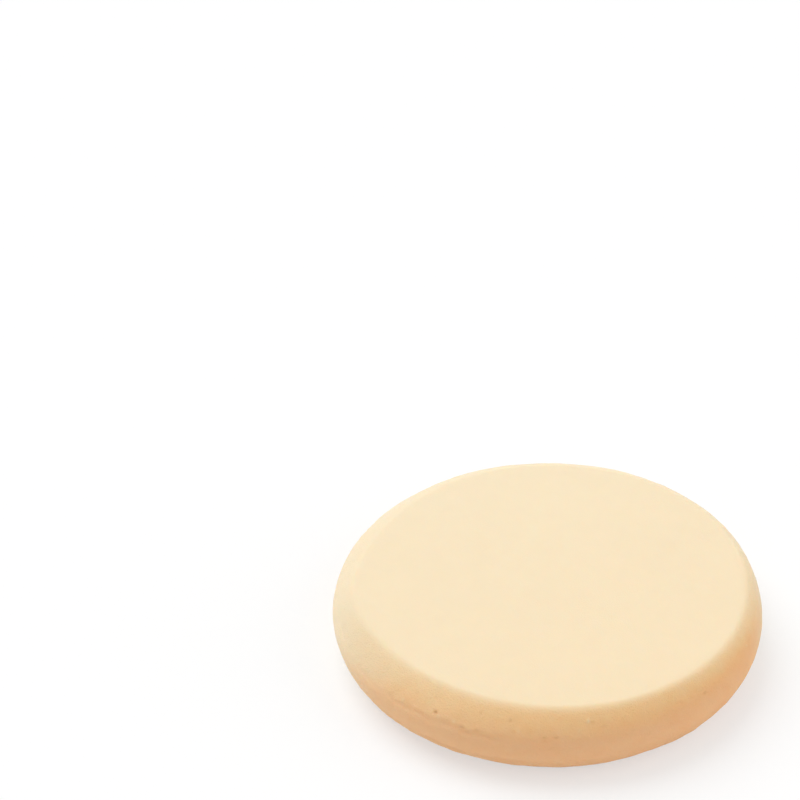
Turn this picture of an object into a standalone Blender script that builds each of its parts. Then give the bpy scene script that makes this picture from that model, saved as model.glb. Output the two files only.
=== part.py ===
"""Round makeup sponge: one disc of foam rubber with a bevel ground round both faces.

Metres, +Z up. The origin is at the centre of the underside, on the surface the sponge rests on.
"""

import bpy
from mathutils import Vector

# The blank: a disc cut from foam sheet.
DISC_DIAMETER = 0.080
DISC_THICKNESS = 0.0136

# The bevel ground round each face, and the crown that grinding leaves on it.
BEVEL_WIDTH = 0.0039
BEVEL_HEIGHT = 0.00325
BEVEL_CROWN = 0.0003

# The wall between the two bevels swells outwards at half thickness.
WALL_BULGE = 0.0009

# How far each corner's rounding reaches from the corner, along either side of it.
RIM_ROUND = 0.0013
SHOULDER_ROUND = 0.0008

# The upper bevel isn't ground quite true: its face ends up off centre, and its shoulder leans, rising by
# the first lean at the right and by the second at the back. The lower bevel is true.
FACE_SHIFT = 0.0014
SHOULDER_LEAN_RIGHT = 0.00045
SHOULDER_LEAN_BACK = 0.00045

# Facets.
ROUND_STEPS = 56
RIM_STEPS = 4
BEVEL_STEPS = 2
SHOULDER_STEPS = 2
WALL_STEPS = 2

MERGE_DISTANCE = 0.00001
SHARP_ANGLE = 0.9

# Cream foam rubber, dull all over.
FOAM_COLOUR = (0.90, 0.74, 0.50, 1.0)
FOAM_ROUGHNESS = 0.92

DISC_RADIUS = DISC_DIAMETER / 2
HALF_THICKNESS = DISC_THICKNESS / 2
SHOULDER_RADIUS = DISC_RADIUS - WALL_BULGE
SHOULDER_HEIGHT = HALF_THICKNESS - BEVEL_HEIGHT
FACE_RADIUS = SHOULDER_RADIUS - BEVEL_WIDTH


def clear_scene():
    for old in list(bpy.data.objects):
        bpy.data.objects.remove(old, do_unlink=True)


def foam_material():
    material = bpy.data.materials.new("cream_foam")
    material.use_nodes = True
    shader = material.node_tree.nodes["Principled BSDF"]
    shader.inputs["Base Color"].default_value = FOAM_COLOUR
    shader.inputs["Roughness"].default_value = FOAM_ROUGHNESS
    shader.inputs["Metallic"].default_value = 0.0
    return material


def curve(start, control, end, first, last, steps):
    """Points of the quadratic curve from start to end that leans towards control, from first to last of it."""
    points = []
    for step in range(steps + 1):
        t = first + (last - first) * step / steps
        points.append(start.lerp(control, t).lerp(control.lerp(end, t), t))
    return points


def joined(before, after, steps):
    """Points of a curve from the end of one run of points to the start of the next, leaving both out.

    It leans towards the place where the end directions of the two runs cross, so it carries both on smoothly.
    """
    leaving = before[-1] - before[-2]
    arriving = after[1] - after[0]
    ahead = (after[0] - before[-1]).cross(arriving) / leaving.cross(arriving)
    control = before[-1] + leaving * ahead
    return curve(before[-1], control, after[0], 0, 1, steps)[1:-1]


def upper_profile():
    """Radius and height above half thickness, from the middle of the face down to the widest point.

    It is a line for the face, an arch for the bevel and a parabola for the wall, with the corners rounded.
    """
    centre = Vector((0, HALF_THICKNESS))
    rim = Vector((FACE_RADIUS, HALF_THICKNESS))
    shoulder = Vector((SHOULDER_RADIUS, SHOULDER_HEIGHT))
    widest = Vector((DISC_RADIUS, 0))

    face = [centre, rim - Vector((RIM_ROUND, 0))]
    chord = shoulder - rim
    outward = Vector((-chord.y, chord.x)).normalized()
    arch_control = rim.lerp(shoulder, 0.5) + outward * 2 * BEVEL_CROWN
    first = RIM_ROUND / chord.length
    last = 1 - SHOULDER_ROUND / chord.length
    bevel = curve(rim, arch_control, shoulder, first, last, BEVEL_STEPS)
    wall_control = Vector((DISC_RADIUS, SHOULDER_HEIGHT / 2))
    wall = curve(shoulder, wall_control, widest, SHOULDER_ROUND / SHOULDER_HEIGHT, 1, WALL_STEPS)
    return face + joined(face, bevel, RIM_STEPS) + bevel + joined(bevel, wall, SHOULDER_STEPS) + wall


def profile_mesh():
    """The edge outline of the whole disc, down its outer side from the axis to the axis."""
    upper = upper_profile()
    lower = [Vector((point.x, -point.y)) for point in reversed(upper[:-1])]
    outline = [(point.x, 0, HALF_THICKNESS + point.y) for point in upper + lower]
    edges = [(index, index + 1) for index in range(len(outline) - 1)]
    mesh = bpy.data.meshes.new("disc_outline")
    mesh.from_pydata(outline, edges, [])
    return mesh


def turned_disc(collection):
    """The outline turned once round the vertical axis, as a closed mesh of its own."""
    turned = bpy.data.objects.new("disc_turning", profile_mesh())
    collection.objects.link(turned)
    screw = turned.modifiers.new("turn", "SCREW")
    screw.axis = "Z"
    screw.steps = ROUND_STEPS
    screw.render_steps = ROUND_STEPS
    screw.use_merge_vertices = True
    screw.merge_threshold = MERGE_DISTANCE
    graph = bpy.context.evaluated_depsgraph_get()
    mesh = bpy.data.meshes.new_from_object(turned.evaluated_get(graph))
    bpy.data.objects.remove(turned, do_unlink=True)
    return mesh


def grind_off_true(mesh):
    """Slide the upper bevel sideways, most at its face, and tip the upper shoulder line."""
    for vertex in mesh.vertices:
        height = max(0, vertex.co.z - HALF_THICKNESS)
        above_shoulder = max(0, height - SHOULDER_HEIGHT) / BEVEL_HEIGHT
        leaning = min(1, height / SHOULDER_HEIGHT) * (1 - above_shoulder)
        right = SHOULDER_LEAN_RIGHT * vertex.co.x / DISC_RADIUS
        back = SHOULDER_LEAN_BACK * vertex.co.y / DISC_RADIUS
        vertex.co.x += FACE_SHIFT * above_shoulder
        vertex.co.z += leaning * (right + back)


def make_foam_disc(collection):
    mesh = turned_disc(collection)
    grind_off_true(mesh)
    mesh.name = "foam_disc"
    mesh.shade_smooth()
    mesh.set_sharp_from_angle(angle=SHARP_ANGLE)
    mesh.materials.append(foam_material())
    disc = bpy.data.objects.new("foam_disc", mesh)
    collection.objects.link(disc)
    return disc


clear_scene()
sponge = bpy.data.collections.new("makeup_sponge")
bpy.context.scene.collection.children.link(sponge)
make_foam_disc(sponge)
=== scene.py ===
"""A round makeup sponge of cream foam rubber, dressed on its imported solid. Metres, +Z up."""

import bpy
import numpy as np
from mathutils import Matrix, Vector


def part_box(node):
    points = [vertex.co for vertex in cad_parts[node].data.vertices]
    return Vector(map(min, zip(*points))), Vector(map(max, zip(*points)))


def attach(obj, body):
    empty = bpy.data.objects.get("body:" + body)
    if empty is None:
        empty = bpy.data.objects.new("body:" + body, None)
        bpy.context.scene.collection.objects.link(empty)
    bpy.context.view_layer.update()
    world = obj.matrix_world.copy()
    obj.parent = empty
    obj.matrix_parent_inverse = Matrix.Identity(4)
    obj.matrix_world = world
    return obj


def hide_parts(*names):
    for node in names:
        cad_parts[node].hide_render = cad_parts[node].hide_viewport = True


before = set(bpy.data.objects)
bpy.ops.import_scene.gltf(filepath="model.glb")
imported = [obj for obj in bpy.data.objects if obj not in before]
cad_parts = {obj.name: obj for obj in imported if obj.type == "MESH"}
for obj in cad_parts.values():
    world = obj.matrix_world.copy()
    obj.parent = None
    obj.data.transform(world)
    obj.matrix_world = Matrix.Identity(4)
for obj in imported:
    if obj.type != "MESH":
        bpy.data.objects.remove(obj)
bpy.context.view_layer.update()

# The foam disc: its form
# A disc is stamped out of a sheet of fine-celled foam rubber and held to a grinding wheel, one side up and
# then the other. The wheel leaves a crowned bevel round each flat face, a shoulder beyond it and a wall that
# swells a little. The upper bevel is off centre, its rim bulges at the left, and its shoulder is tipped.

lowest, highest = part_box("foam_disc")
DISC_RADIUS = (highest.x - lowest.x) / 2
HALF_THICKNESS = (highest.z - lowest.z) / 2

# The outline from face to wall, and how far each corner's rounding reaches along either side of it.
BEVEL_WIDTH = 0.0039
BEVEL_HEIGHT = 0.00325
BEVEL_CROWN = 0.0003
WALL_BULGE = 0.0009
SHOULDER_ROUND = 0.0012
RIM_ROUND_ON_FACE = 0.0005
RIM_ROUND_ON_BEVEL = 0.0015

# How far the upper bevel is off true.
FACE_SHIFT = 0.0014
RIM_BULGE = 0.0023
RIM_BULGE_TOWARDS = np.radians(-168)
RIM_BULGE_SPREAD = np.radians(26)
SHOULDER_LEAN_RIGHT = 0.00045
SHOULDER_LEAN_BACK = 0.00045
SHOULDER_DIP = 0.0005
SHOULDER_DIP_TOWARDS = np.radians(-150)
SHOULDER_DIP_SPREAD = np.radians(28)

# Noise is listed as layers, each with its reach, the side of its cubes and its seed. It repeats after
# NOISE_REPEAT cubes along x, y and z.
RIM_WANDER = [(0.00014, 0.014, 5), (0.00007, 0.004, 6)]
SHOULDER_WANDER = [(0.00018, 0.006, 7), (0.00010, 0.0018, 8)]
NOISE_REPEAT = (61, 59, 53)

# The edge's rows start FACE_BORDER inside the rim. It has twice as many columns as the face's outermost ring
# has points.
FACE_BORDER = 0.0026
FACE_CELLS = 112
COLUMNS = 8 * FACE_CELLS
ROWS = 80
CURVE_POINTS = 24

BEVEL_LENGTH = float(np.hypot(BEVEL_WIDTH, BEVEL_HEIGHT))
SHOULDER_RADIUS = DISC_RADIUS - WALL_BULGE
SHOULDER_HEIGHT = HALF_THICKNESS - BEVEL_HEIGHT
RIM_RADIUS = SHOULDER_RADIUS - BEVEL_WIDTH
EDGE_START_RADIUS = RIM_RADIUS - FACE_BORDER


def smooth_step(value, start, end):
    """3t^2 - 2t^3, where t runs from 0 at start to 1 at end."""
    t = np.clip((value - start) / (end - start), 0, 1)
    return t * t * (3 - 2 * t)


def bell(away, half_width):
    """exp(-(away / half_width)^2): 1 at the middle, and little past twice the half width."""
    return np.exp(-((away / half_width) ** 2))


def turn_from(points, direction):
    """The angle round the disc from a direction to each point, from -pi to pi."""
    return np.mod(np.arctan2(points[:, 1], points[:, 0]) - direction + np.pi, 2 * np.pi) - np.pi


def curve(start, control, end, first=0.0, last=1.0):
    """Points of (1-t)^2 start + 2t(1-t) control + t^2 end, for t from first to last."""
    t = np.linspace(first, last, CURVE_POINTS)[:, None]
    return (1 - t) ** 2 * np.array(start) + 2 * t * (1 - t) * np.array(control) + t ** 2 * np.array(end)


def joined(before, after):
    """A quadratic curve that runs on from the end of one run of points to the start of the next, as smoothly
    as they run themselves: its control point is where their end directions cross."""
    leaving, arriving = before[-1] - before[-2], after[1] - after[0]
    ahead, _ = np.linalg.solve(np.stack([leaving, arriving], 1), after[0] - before[-1])
    return curve(before[-1], before[-1] + leaving * ahead, after[0])[1:-1]


def edge_outline():
    """Radius, height over half thickness and distance down of ROWS + 1 even steps, from face to face.

    The upper half is a line in the face, an arch for the bevel and a parabola for the wall, with the corners
    between them rounded. An arch rises half as far as its control point, so that lies two crowns out.
    """
    rim = np.array((RIM_RADIUS, HALF_THICKNESS))
    shoulder = np.array((SHOULDER_RADIUS, SHOULDER_HEIGHT))
    chord = shoulder - rim
    outward = np.array((-chord[1], chord[0])) / BEVEL_LENGTH
    arch_control = rim + chord / 2 + 2 * BEVEL_CROWN * outward

    face = np.array([(EDGE_START_RADIUS, HALF_THICKNESS), (RIM_RADIUS - RIM_ROUND_ON_FACE, HALF_THICKNESS)])
    first, last = RIM_ROUND_ON_BEVEL / BEVEL_LENGTH, 1 - SHOULDER_ROUND / BEVEL_LENGTH
    bevel = curve(rim, arch_control, shoulder, first, last)
    wall_control = (DISC_RADIUS, SHOULDER_HEIGHT / 2)
    wall = curve(shoulder, wall_control, (DISC_RADIUS, 0), SHOULDER_ROUND / SHOULDER_HEIGHT)

    upper = np.vstack([face, joined(face, bevel), bevel, joined(bevel, wall), wall])
    whole = np.vstack([upper, upper[-2::-1] * (1, -1)])
    length = np.append(0, np.cumsum(np.linalg.norm(np.diff(whole, axis=0), axis=1)))
    steps = np.linspace(0, length[-1], ROWS + 1)
    return np.interp(steps, length, whole[:, 0]), np.interp(steps, length, whole[:, 1]), steps - FACE_BORDER


def solid_noise(points, cell, seed):
    """Smooth noise from -1 to 1 through space: a random value at each corner of cubes of side cell, blended
    across the cube by 3t^2 - 2t^3 along each axis."""
    values = np.random.default_rng(seed).uniform(-1, 1, NOISE_REPEAT)
    scaled = points / cell
    base = np.floor(scaled).astype(int)
    t = smooth_step(scaled - base, 0, 1)
    total = np.zeros(points.shape[:-1])
    for corner in np.ndindex(2, 2, 2):
        weight = np.prod(np.where(corner, t, 1 - t), axis=-1)
        x, y, z = np.moveaxis((base + corner) % values.shape, -1, 0)
        total += weight * values[x, y, z]
    return total


def layered_noise(points, layers):
    """The sum of the layers' noise, each times its reach."""
    return sum(reach * solid_noise(points, cell, seed) for reach, cell, seed in layers)


def ground_edge():
    """The edge as an array of rows by columns by x, y, z: the outline turned once round, then pushed off
    true. Each point slides with how far over the upper shoulder it is, and lifts with how near it is."""
    angle = np.arange(COLUMNS) / COLUMNS * 2 * np.pi
    around = np.stack([np.cos(angle), np.sin(angle), 0 * angle], -1)

    radius, height, _ = edge_outline()
    radius = np.repeat(radius[:, None], COLUMNS, axis=1)
    height = np.repeat(height[:, None], COLUMNS, axis=1)
    over_shoulder = np.clip(np.abs(height) - SHOULDER_HEIGHT, 0, None) / BEVEL_HEIGHT
    near_shoulder = np.clip(np.abs(height) / SHOULDER_HEIGHT, 0, 1) * (1 - over_shoulder)
    upper = height > 0

    # The upper rim bulges at the left. Both rims wander a little in and out, and the shoulders up and down.
    places = around[None] * radius[..., None]
    places[..., 2] = height
    shoulder_wander = layered_noise(places, SHOULDER_WANDER)
    bulge = RIM_BULGE * bell(turn_from(around, RIM_BULGE_TOWARDS), RIM_BULGE_SPREAD)
    outward = (layered_noise(places, RIM_WANDER) + bulge * upper) * over_shoulder
    outward *= smooth_step(radius, EDGE_START_RADIUS, RIM_RADIUS)
    places[..., 0] += outward * around[:, 0] + FACE_SHIFT * over_shoulder * upper
    places[..., 1] += outward * around[:, 1]
    lean = SHOULDER_LEAN_RIGHT * around[:, 0] + SHOULDER_LEAN_BACK * around[:, 1]
    lean -= SHOULDER_DIP * bell(turn_from(around, SHOULDER_DIP_TOWARDS), SHOULDER_DIP_SPREAD)
    places[..., 2] += near_shoulder * (lean * upper + shoulder_wander) + HALF_THICKNESS
    return places


def face_grid(shift, height):
    """A square grid pressed into a disc, so that each square ring becomes a round one with evenly spaced
    points. The outermost ring lies half a cell inside the edge's first row. Also gives its own quads, and
    the indices of the outermost ring by angle."""
    half = FACE_CELLS // 2
    line = np.arange(-half, half + 1)
    across, along = np.meshgrid(line, line, indexing="ij")
    wide = np.abs(across) > np.abs(along)
    reach = np.where(wide, across, along)
    ratio = np.where(wide, along, across) / np.where(reach == 0, 1, reach)
    turn = np.where(wide, ratio, 2 - ratio) * np.pi / 4 + np.where(reach < 0, np.pi, 0)
    radius = EDGE_START_RADIUS * np.abs(reach) / (half + 0.5)
    places = np.stack([radius * np.cos(turn) + shift, radius * np.sin(turn), 0 * radius + height], -1)

    index = np.arange(places[..., 0].size).reshape(reach.shape)
    quads = np.stack([index[:-1, :-1], index[1:, :-1], index[1:, 1:], index[:-1, 1:]], -1)
    outermost = np.abs(reach) == half
    ring = index[outermost][np.argsort(np.mod(turn[outermost], 2 * np.pi))]
    return places.reshape(-1, 3), quads.reshape(-1, 4), ring


def ring_seam(coarse, fine):
    """Triangles between a ring of points and one of twice as many outside it, three to each coarse point."""
    even, odd = fine[0::2], fine[1::2]
    next_coarse, next_even = np.roll(coarse, -1), np.roll(even, -1)
    return np.vstack([
        np.stack([coarse, even, odd], -1),
        np.stack([coarse, odd, next_coarse], -1),
        np.stack([next_coarse, odd, next_even], -1),
    ])


def halved(quads):
    """Two triangles for each quad."""
    return np.vstack([quads[:, [0, 1, 2]], quads[:, [0, 2, 3]]])


def disc_surface():
    """Points, triangles facing out, and each point's distance down the edge from the upper rim. The points
    of a face take the distance of the edge's row beside it."""
    edge = ground_edge()
    index = np.arange(edge[..., 0].size).reshape(edge.shape[:2])
    following = np.roll(index, -1, axis=1)
    edge_quads = np.stack([index[:-1], index[1:], following[1:], following[:-1]], -1).reshape(-1, 4)

    top, face_quads, ring = face_grid(FACE_SHIFT, 2 * HALF_THICKNESS)
    bottom, _, _ = face_grid(0, 0)
    top_start = index.size
    bottom_start = top_start + len(top)
    points = np.vstack([edge.reshape(-1, 3), top, bottom])
    triangles = np.vstack([
        halved(edge_quads),
        halved(face_quads + top_start),
        ring_seam(ring + top_start, index[0]),
        halved(face_quads + bottom_start)[:, ::-1],
        ring_seam(ring + bottom_start, index[-1])[:, ::-1],
    ])

    down = edge_outline()[2]
    face_downs = np.repeat(down[[0, -1]], len(top))
    return points, triangles, np.append(np.repeat(down, COLUMNS), face_downs)


# The distance down the edge from rim to rim.
EDGE_LENGTH = edge_outline()[2][-1] - FACE_BORDER


def from_rim(down):
    """Distance down the edge from the nearer of the two rims."""
    return np.minimum(down, EDGE_LENGTH - down)


# The foam disc: its cells
# Foam rubber is full of bubbles. The wheel tears the edge open and leaves pits, crumbs and a soft grit
# there, and folds a ragged lip over the shoulder at the front. The flat faces, sliced with a blade, stay
# smooth and only swell and dip a little.

# Ground foam sets in between these distances from a rim, and its torn part ends past the shoulder.
GROUND_START = 0.0
GROUND_END = 0.0010
TORN_FADE = 0.0014

# PIT_SHARE of the cubes of side PIT_SPACING hold a bubble, a small one more often than a large one. They
# repeat after PIT_REPEAT cubes along x, y and z. NO_BUBBLE is a radius too small to show.
PIT_SEED = 11
PIT_SPACING = 0.0016
PIT_REPEAT = (47, 43, 41)
PIT_SHARE = 0.26
LEAST_PIT = 0.00016
LARGEST_PIT = 0.00040
NO_BUBBLE = 1e-9
PIT_DEPTH = 0.5
WALL_PIT_SHARE = 0.25
TORN_REACH = 0.00012
TORN_CELL = 0.0005
TORN_SEEDS = (24, 25, 26)

# The soft relief of the whole disc, of its ground edge and of its torn bevel.
SWELL = [(0.00005, 0.013, 12), (0.000018, 0.0045, 13)]
RIPPLE = [(0.00004, 0.0024, 14)]
GRIT = [(0.000026, 0.0009, 15)]

# The lip: a ragged ridge in patches, with a groove below it.
LIP_CRUMBS = [(0.00010, 0.0012, 16)]
LIP_STRAY = [(0.00040, 0.0022, 22), (0.00022, 0.0009, 23)]
LIP_PATCHES = [(0.9, 0.0026, 21)]
LIP_COMMON = 0.7
LIP_MOST = 1.3
LIP_TOWARDS = np.radians(-112)
LIP_SPREAD = np.radians(28)
LIP_LEAST = 0.08
LIP_HEIGHT = 0.00009
LIP_HALF_WIDTH = 0.00045
GROOVE_DEPTH = 0.00032
GROOVE_BELOW = 0.0010
GROOVE_HALF_WIDTH = 0.00065

# Gashes and crumbs at the front, each as its angle round the disc in degrees, its distance below the rim
# and its strength.
GASHES = [(-127, 0.0030, 0.2), (-119.6, 0.0045, 0.9), (-111.5, 0.0053, 0.6), (-107.5, 0.0052, 0.4),
          (-98, 0.0044, 0.3), (-90, 0.0051, 0.35), (-87, 0.0051, 0.45), (-77.3, 0.0029, 0.4),
          (-74.5, 0.0038, 0.35), (-44, 0.0049, 0.5)]
CRUMBS = [(-130, 0.0050, 0.8), (-122, 0.0036, 0.5), (-118.5, 0.0049, 0.8), (-114, 0.0048, 0.8),
          (-96.7, 0.0043, 0.6), (-78.4, 0.0026, 1.5), (-81, 0.0040, 0.5), (-22, 0.0047, 0.9)]
GASH_DEPTH = 0.00022
GASH_HALF_LENGTH = 0.00044
GASH_HALF_WIDTH = 0.00020
CRUMB_HEIGHT = 0.00013
CRUMB_RADIUS = 0.00032
# The pits and gashes are tinted towards brown by these shares: painted shade in these hollows.
PIT_SHADE_TINT = 0.18
GASH_SHADE_TINT = 0.8


def open_cells(points):
    """Depth of the bubbles that the surface cuts. A cube may hold one bubble at a random place; inside its
    radius r the pit at distance d is r (1 - d^2/r^2)^1.5 deep."""
    rng = np.random.default_rng(PIT_SEED)
    offset = rng.uniform(0, 1, (*PIT_REPEAT, 3))
    radius = LEAST_PIT + (LARGEST_PIT - LEAST_PIT) * rng.uniform(0, 1, PIT_REPEAT) ** 3
    radius[rng.uniform(0, 1, PIT_REPEAT) > PIT_SHARE] = NO_BUBBLE
    base = np.floor(points / PIT_SPACING).astype(int)
    depth = np.zeros(len(points))

    # A point may lie in a bubble of its own cube or of the 26 round it.
    for corner in np.ndindex(3, 3, 3):
        cube = base + corner - 1
        x, y, z = (cube % PIT_REPEAT).T
        away = np.linalg.norm(points - (cube + offset[x, y, z]) * PIT_SPACING, axis=1)
        r = radius[x, y, z]
        inside = np.clip(1 - (away / r) ** 2, 0, 1)
        depth = np.maximum(depth, r * inside ** 1.5)
    return depth


def marks_at(places, points, down, half_length, half_width):
    """The sum of a bell at each place, half_length along the edge and half_width down it, times its
    strength."""
    total = np.zeros(len(points))
    for degrees, distance, strength in places:
        along = turn_from(points, np.radians(degrees)) * DISC_RADIUS
        total += strength * bell(along, half_length) * bell(down - distance, half_width)
    return total


def crumb_marks(points, down):
    """How much of a crumb lies at each point."""
    return marks_at(CRUMBS, points, down, CRUMB_RADIUS, CRUMB_RADIUS)


def below_lip(points, down):
    """Distance below a ragged line that strays up and down along the nearer shoulder."""
    return from_rim(down) - BEVEL_LENGTH + layered_noise(points, LIP_STRAY)


def lip_strength(points):
    """0 to LIP_MOST in patches at the middle of the lip, and less to either side as a bell of the angle."""
    patchy = np.clip(LIP_COMMON + layered_noise(points, LIP_PATCHES), 0, LIP_MOST)
    return (LIP_LEAST + (1 - LIP_LEAST) * bell(turn_from(points, LIP_TOWARDS), LIP_SPREAD)) * patchy


def relief(points, down):
    """Height of the fine relief along the surface's normal, and the share of brown painted shade at each
    point, 0 to 1, from how deep it lies in a pit or gash.
    """
    near = from_rim(down)
    ground = smooth_step(near, GROUND_START, GROUND_END)
    bevel = ground * (1 - smooth_step(near, BEVEL_LENGTH, BEVEL_LENGTH + TORN_FADE))
    below = below_lip(points, down)
    lip = bell(below, LIP_HALF_WIDTH)
    groove = bell(below - GROOVE_BELOW, GROOVE_HALF_WIDTH)

    torn = points + TORN_REACH * np.stack([solid_noise(points, TORN_CELL, seed) for seed in TORN_SEEDS], -1)
    cells = open_cells(torn)
    pits = cells * (WALL_PIT_SHARE * ground + (1 - WALL_PIT_SHARE) * bevel)
    gashes = marks_at(GASHES, points, down, GASH_HALF_LENGTH, GASH_HALF_WIDTH)

    height = layered_noise(points, SWELL) + ground * layered_noise(points, RIPPLE)
    height += bevel * layered_noise(points, GRIT)
    height += lip * np.clip(layered_noise(points, LIP_CRUMBS), 0, None)
    height += lip_strength(points) * (LIP_HEIGHT * lip - GROOVE_DEPTH * groove)
    height += CRUMB_HEIGHT * crumb_marks(points, down) - GASH_DEPTH * gashes - PIT_DEPTH * pits
    return height, np.clip(PIT_SHADE_TINT * pits / LARGEST_PIT + GASH_SHADE_TINT * gashes, 0, 1)


# The foam disc: its colour
# Sliced foam is pale cream. The edge is deeper: straw over the bevel, and a pinker tan down the wall, partly
# the ground foam's own tone and partly painted shade. It is deepest at the front, away from the stronger
# lamp.

CREAM = np.array((0.935, 0.783, 0.550))
STRAW = np.array((0.965, 0.558, 0.245))
TAN = np.array((0.935, 0.545, 0.285))
TAN_START = 0.0018
TAN_END = 0.0072

# Depth of colour, painted shade at the front: on the bevel it falls away from one direction at the front,
# which faces away from the stronger lamp. Down the wall it rises slowly towards the right and fades at either
# side, with a little of it left at the back as the ground foam's own tone.
BEVEL_SHADIEST_TOWARDS = np.radians(-75)
BEVEL_DEPTH = 0.67
BEVEL_FADE = (0.49, 1.0)
BACK = np.radians(90)
BACK_DEPTH = 0.22
BACK_FADE = (0.40, 0.85)
WALL_SHADE_TOWARDS = np.radians(-80)
WALL_FADE = (0.52, 0.80)
WALL_DEEPENS_TOWARDS = np.radians(-10)
WALL_LEAST_DEPTH = 0.76
WALL_DEEPENING = 0.33

# Where the depth rises to the bevel's and then to the wall's, as distances below the rim; the deeper wall is
# painted shade too. The second rise is lower down from the left round to the back, where the stronger lamp
# lights the wall, and partly a step where there is a lip.
ONTO_BEVEL = (-0.0009, 0.0017)
ONTO_WALL = (0.0008, 0.0056)
LIT_SIDE_TOWARDS = np.radians(135)
LOW_FADE = (0.40, 0.66)
LOWER_BY = 0.0030
LIP_STEP = 0.25
LIP_STEP_REACH = 0.0004

# The sliced face deepens slightly from one side to the other, and ground foam is mottled.
FACE_DEPTH = 0.08
FACE_DEEPEST_TOWARDS = np.radians(-60)
MOTTLE = [(0.07, 0.0035, 17), (0.05, 0.0012, 18)]
CRUMB_PALENESS = 0.4


def facing(points, direction):
    """1/2 + 1/2 cos of the angle round the disc from a direction."""
    return 0.5 + 0.5 * np.cos(turn_from(points, direction))


def ground_and_shade_depths(points):
    """Depth of colour on the bevel and on the wall: painted shade, deepest at the front, away from the
    stronger lamp, with a little ground foam tone left at the back. Each fades past either side of the front,
    the bevel in proportion to how far a point faces away and the wall in a smooth step."""
    bevel = BEVEL_DEPTH * np.interp(facing(points, BEVEL_SHADIEST_TOWARDS), BEVEL_FADE, (0, 1))
    wall = WALL_LEAST_DEPTH + WALL_DEEPENING * facing(points, WALL_DEEPENS_TOWARDS)
    wall *= smooth_step(facing(points, WALL_SHADE_TOWARDS), *WALL_FADE)
    wall += BACK_DEPTH * smooth_step(facing(points, BACK), *BACK_FADE)
    return bevel, wall


def foam_and_shade_depth(points, down):
    """How deep in colour the foam is: near 0 for sliced foam, about 1 for the wall at the front. Past the
    ground foam's own tone this depth is painted shade, most at the front and down the wall. It rises across
    the rim, and again down the bevel and wall; at the lip, part of that second rise is a step."""
    bevel, wall = ground_and_shade_depths(points)
    onto_bevel = smooth_step(from_rim(down), *ONTO_BEVEL)
    # The painted shade down the wall starts lower on the side that the stronger lamp lights.
    lower = LOWER_BY * smooth_step(facing(points, LIT_SIDE_TOWARDS), *LOW_FADE)
    lowered = down + layered_noise(points, LIP_STRAY) - lower
    step = LIP_STEP * bell(turn_from(points, LIP_TOWARDS), LIP_SPREAD)
    onto_wall = (1 - step) * smooth_step(lowered, *ONTO_WALL)
    onto_wall += step * smooth_step(lowered - BEVEL_LENGTH, -LIP_STEP_REACH, LIP_STEP_REACH)
    # This depth is painted shade on top of the ground foam's own tone.
    ground = onto_bevel * (bevel + (wall - bevel) * onto_wall)
    ground *= 1 + layered_noise(points, MOTTLE) - CRUMB_PALENESS * crumb_marks(points, down)
    outwards = np.hypot(points[:, 0], points[:, 1]) / DISC_RADIUS
    face = FACE_DEPTH * (0.5 + outwards * (facing(points, FACE_DEEPEST_TOWARDS) - 0.5))
    return face + (1 - face) * ground


def foam_colours(points, down):
    """Each point's red, green, blue and 1: cream times the deep colour's share of it to the power of depth.
    The deep colour, straw on the bevel and tan on the wall, is partly ground foam and partly painted shade."""
    tan_share = smooth_step(down + layered_noise(points, LIP_STRAY), TAN_START, TAN_END)[:, None]
    ground = STRAW + (TAN - STRAW) * tan_share
    colours = CREAM * (ground / CREAM) ** foam_and_shade_depth(points, down)[:, None]
    return np.hstack([colours, np.ones((len(points), 1))])


def foam_disc_mesh():
    """The disc's surface with its relief, its colours, and the marks that its material reads."""
    points, triangles, down = disc_surface()
    mesh = bpy.data.meshes.new("foam_sponge")
    mesh.from_pydata(points, [], triangles)
    normals = np.empty(len(points) * 3, np.float32)
    mesh.vertex_normals.foreach_get("vector", normals)
    height, pit = relief(points, down)
    risen = points + normals.reshape(-1, 3) * height[:, None]
    risen[:, 2] = np.maximum(risen[:, 2], 0)
    mesh.vertices.foreach_set("co", risen.astype(np.float32).ravel())
    # The pit attribute is the share of brown painted shade in the pits and gashes.
    for name, values in (("ground", smooth_step(from_rim(down), GROUND_START, GROUND_END)), ("pit", pit)):
        mesh.attributes.new(name, "FLOAT", "POINT").data.foreach_set("value", values.astype(np.float32))
    # These colours hold painted shade on the edge, deepest at the front.
    colours = foam_colours(points, down).astype(np.float32)
    mesh.attributes.new("foam_and_shade_colour", "FLOAT_COLOR", "POINT").data.foreach_set("color", colours.ravel())
    mesh.update()
    mesh.shade_smooth()
    return mesh


# Foam is dull, and light goes a little way into it, red the furthest.
# The brown painted into the pits and gashes as shade.
PIT_SHADE_BROWN = (0.58, 0.29, 0.12, 1)
FOAM_SHADER = {
    "Roughness": 0.95,
    "Specular IOR Level": 0.15,
    "Subsurface Weight": 0.25,
    "Subsurface Radius": (1.0, 0.55, 0.3),
    "Subsurface Scale": 0.0008,
}

# The fine patterns, from the cells and their grain up to specks and clouds. Each Scale is 1 over a size. Then
# how far they swing the brightness about FOAM_LEVEL, and how much they raise the bump.
CELLS = {"Scale": 1 / 0.00030, "Randomness": 1.0}
GRAIN = {"Scale": 1 / 0.00022, "Detail": 2.0, "Roughness": 0.6}
SPECKS = {"Scale": 1 / 0.0035, "Detail": 3.0, "Roughness": 0.55}
CLOUDS = {"Scale": 1 / 0.018, "Detail": 2.0, "Roughness": 0.5}
FOAM_LEVEL = 0.985
SPECK_SHARE = 0.03
CLOUD_SHARE = 0.03
FACE_GRAIN = 0.015
EXTRA_GROUND_GRAIN = 0.05
BUMP_HEIGHT = 0.00012
FACE_BUMP = 0.25
EXTRA_GROUND_BUMP = 0.6
CELL_BUMP = 0.6
GRAIN_BUMP = 0.5


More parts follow.
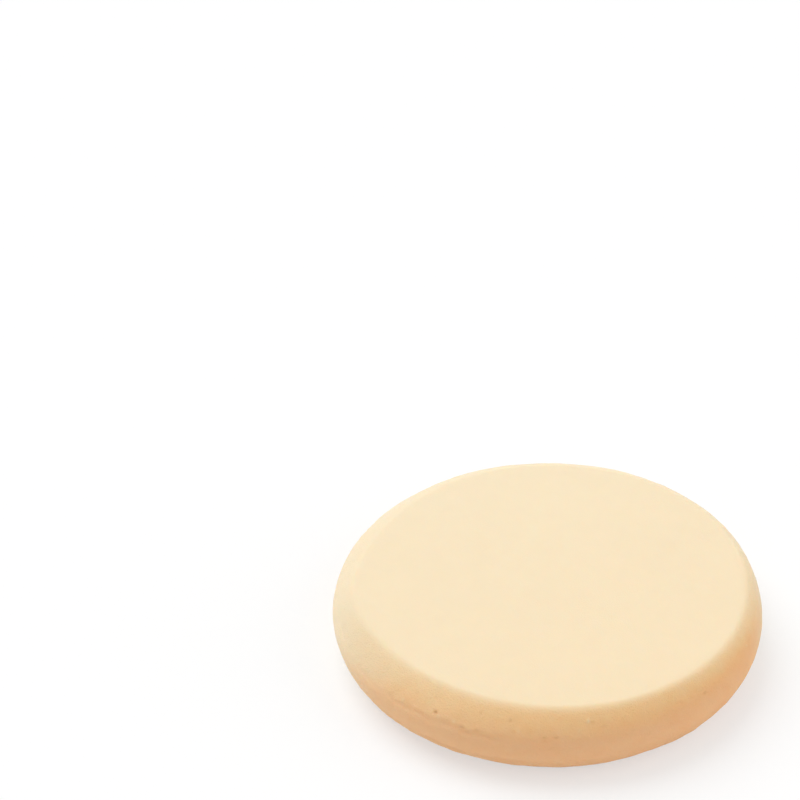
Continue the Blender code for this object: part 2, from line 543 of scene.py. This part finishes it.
def add_node(tree, kind, **inputs):
    """A node with its inputs set from values or linked from sockets; an input's spaces are written as _."""
    made = tree.nodes.new("ShaderNode" + kind)
    for name, value in inputs.items():
        socket = made.inputs[name.replace("_", " ")]
        if isinstance(value, bpy.types.NodeSocket):
            tree.links.new(value, socket)
        else:
            socket.default_value = value
    return made


def calculate(tree, operation, first, second, third=0.0):
    """first and second joined by a Math operation, third being used by multiply-add alone."""
    made = tree.nodes.new("ShaderNodeMath")
    made.operation = operation
    for socket, value in zip(made.inputs, (first, second, third)):
        if isinstance(value, bpy.types.NodeSocket):
            tree.links.new(value, socket)
        else:
            socket.default_value = value
    return made.outputs["Value"]


def set_inputs(shader, values):
    """Set the shader's inputs that are the same all over."""
    for name, value in values.items():
        shader.inputs[name].default_value = value


def read_attribute(tree, name, output="Fac"):
    """The socket that gives one of the mesh's attributes."""
    made = tree.nodes.new("ShaderNodeAttribute")
    made.attribute_name = name
    return made.outputs[output]


def swung(tree, level, texture, share):
    """level plus share times how far the texture is from its middle, 0.5."""
    off_middle = calculate(tree, "ADD", texture.outputs["Fac"], -0.5)
    return calculate(tree, "MULTIPLY_ADD", off_middle, share, level)


def foam_material():
    """Dull foam: the mesh's colours, which hold painted shade on the edge, brown painted shade in the pits,
    with soft clouds and specks and a grain of cells.
    """
    material = bpy.data.materials.new("cream_foam_rubber")
    material.use_nodes = True
    tree = material.node_tree
    shader = tree.nodes["Principled BSDF"]
    place = add_node(tree, "TexCoord").outputs["Object"]
    cells = add_node(tree, "TexVoronoi", Vector=place, **CELLS)
    grain = add_node(tree, "TexNoise", Vector=place, **GRAIN)
    specks = add_node(tree, "TexNoise", Vector=place, **SPECKS)
    clouds = add_node(tree, "TexNoise", Vector=place, **CLOUDS)

    # The Mix node's inputs share their names, so its share and its two colours are told by number.
    pit_shade_colour = add_node(tree, "Mix")
    pit_shade_colour.data_type = "RGBA"
    share, surface_colour, pit_shade_brown = (pit_shade_colour.inputs[number] for number in (0, 6, 7))
    tree.links.new(read_attribute(tree, "pit"), share)
    tree.links.new(read_attribute(tree, "foam_and_shade_colour", "Color"), surface_colour)
    pit_shade_brown.default_value = PIT_SHADE_BROWN

    # Specks, clouds and grain shift the brightness by a few percent, the grain more where foam is ground.
    ground = read_attribute(tree, "ground")
    level = swung(tree, FOAM_LEVEL, specks, SPECK_SHARE)
    level = swung(tree, level, clouds, CLOUD_SHARE)
    grain_share = calculate(tree, "MULTIPLY_ADD", ground, EXTRA_GROUND_GRAIN, FACE_GRAIN)
    level = swung(tree, level, grain, grain_share)
    tint = add_node(tree, "HueSaturation", Color=pit_shade_colour.outputs[2], Value=level)
    tree.links.new(tint.outputs["Color"], shader.inputs["Base Color"])

    # Fine cells and grain in the bump, stronger where the foam is ground.
    depth = calculate(tree, "MULTIPLY", cells.outputs["Distance"], CELL_BUMP)
    depth = calculate(tree, "MULTIPLY_ADD", grain.outputs["Fac"], GRAIN_BUMP, depth)
    strength = calculate(tree, "MULTIPLY_ADD", ground, EXTRA_GROUND_BUMP, FACE_BUMP)
    bump = add_node(tree, "Bump", Height=depth, Strength=strength, Distance=BUMP_HEIGHT)
    tree.links.new(bump.outputs["Normal"], shader.inputs["Normal"])
    set_inputs(shader, FOAM_SHADER)
    return material


sponge = bpy.data.objects.new("foam_sponge", foam_disc_mesh())
bpy.context.scene.collection.objects.link(sponge)
sponge.data.materials.append(foam_material())
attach(sponge, "root")
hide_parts("foam_disc")

# The floor
# A wide plain white sheet under the sponge, level with its underside. To the camera about half of its
# white is a glow, so the shadow on it stays faint.

FLOOR_SIDE = 3.0
FLOOR_PAPER = {"Base Color": (0.97, 0.97, 0.97, 1), "Roughness": 1.0, "Specular IOR Level": 0.0}
FLOOR_GLOW = 0.55


def floor_material():
    """Plain white paper, mixed with a white glow of FLOOR_GLOW in what the camera sees of it."""
    material = bpy.data.materials.new("white_paper")
    material.use_nodes = True
    tree = material.node_tree
    paper = tree.nodes["Principled BSDF"]
    set_inputs(paper, FLOOR_PAPER)
    glow = add_node(tree, "Emission", Color=(1, 1, 1, 1), Strength=1.0)
    seen = add_node(tree, "LightPath").outputs["Is Camera Ray"]
    mixed = tree.nodes.new("ShaderNodeMixShader")
    tree.links.new(calculate(tree, "MULTIPLY", seen, FLOOR_GLOW), mixed.inputs[0])
    tree.links.new(paper.outputs["BSDF"], mixed.inputs[1])
    tree.links.new(glow.outputs["Emission"], mixed.inputs[2])
    tree.links.new(mixed.outputs["Shader"], tree.nodes["Material Output"].inputs["Surface"])
    return material


bpy.ops.mesh.primitive_plane_add(size=FLOOR_SIDE)
floor = bpy.context.object
floor.name = "floor"
floor.data.materials.append(floor_material())

# The light
# A white room with two broad soft lamps above the sponge: the stronger behind it and to its left, the weaker
# to its right. Each has its strength, the direction it stands in and its height over the horizon.

ROOM_LIGHT = 0.525
LAMP_SPREAD = 0.9
LAMPS = {
    "back_left_lamp": (1.654, np.radians(135), np.radians(55)),
    "right_lamp": (0.520, np.radians(0), np.radians(30)),
}

room = bpy.data.worlds.new("white_room")
bpy.context.scene.world = room
room.use_nodes = True
backdrop = room.node_tree.nodes["Background"]
seen = room.node_tree.nodes.new("ShaderNodeLightPath")
level = room.node_tree.nodes.new("ShaderNodeMapRange")
room.node_tree.links.new(seen.outputs["Is Camera Ray"], level.inputs["Value"])
level.inputs["To Min"].default_value = ROOM_LIGHT
level.inputs["To Max"].default_value = 1.0
room.node_tree.links.new(level.outputs["Result"], backdrop.inputs["Strength"])
backdrop.inputs["Color"].default_value = (1, 1, 1, 1)

for name, (energy, azimuth, elevation) in LAMPS.items():
    lamp = bpy.data.objects.new(name, bpy.data.lights.new(name, "SUN"))
    lamp.data.energy = energy
    lamp.data.angle = LAMP_SPREAD
    flat = np.cos(elevation)
    to_lamp = Vector((flat * np.cos(azimuth), flat * np.sin(azimuth), np.sin(elevation)))
    lamp.rotation_euler = to_lamp.to_track_quat("Z", "Y").to_euler()
    bpy.context.scene.collection.objects.link(lamp)

# The camera
# It looks down on the sponge from the front through a long lens, rolled a little, with the sponge in the
# lower right of the picture.

CAMERA_DISTANCE = 0.45
CLIP_START = 0.01
CAMERA_ELEVATION = np.radians(40.04)
CAMERA_ROLL = np.radians(1.34)
PICTURE_PX = 800
SENSOR_MM = 36
LENS_MM = 107.6
SPONGE_OFF_CENTRE_PX = (150.8, 202.8)

lens_px = LENS_MM / SENSOR_MM * PICTURE_PX
centre = Vector((0, 0, HALF_THICKNESS))
back = Vector((0, -np.cos(CAMERA_ELEVATION), np.sin(CAMERA_ELEVATION)))
right = Vector((1, 0, 0))
up = back.cross(right)
aside, above = (pixels / lens_px for pixels in SPONGE_OFF_CENTRE_PX)
forward = (-back - aside * right + above * up).normalized()
right = forward.cross(up).normalized()
up = right.cross(forward)
right, up = (
    np.cos(CAMERA_ROLL) * right + np.sin(CAMERA_ROLL) * up,
    np.cos(CAMERA_ROLL) * up - np.sin(CAMERA_ROLL) * right,
)

camera = bpy.data.objects.new("camera", bpy.data.cameras.new("camera"))
camera.data.lens = LENS_MM
camera.data.sensor_width = SENSOR_MM
camera.data.clip_start = CLIP_START
turn = Matrix((right, up, -forward)).transposed()
camera.matrix_world = Matrix.Translation(centre + back * CAMERA_DISTANCE) @ turn.to_4x4()
bpy.context.scene.collection.objects.link(camera)
bpy.context.scene.camera = camera
bpy.context.scene.view_settings.view_transform = "Standard"
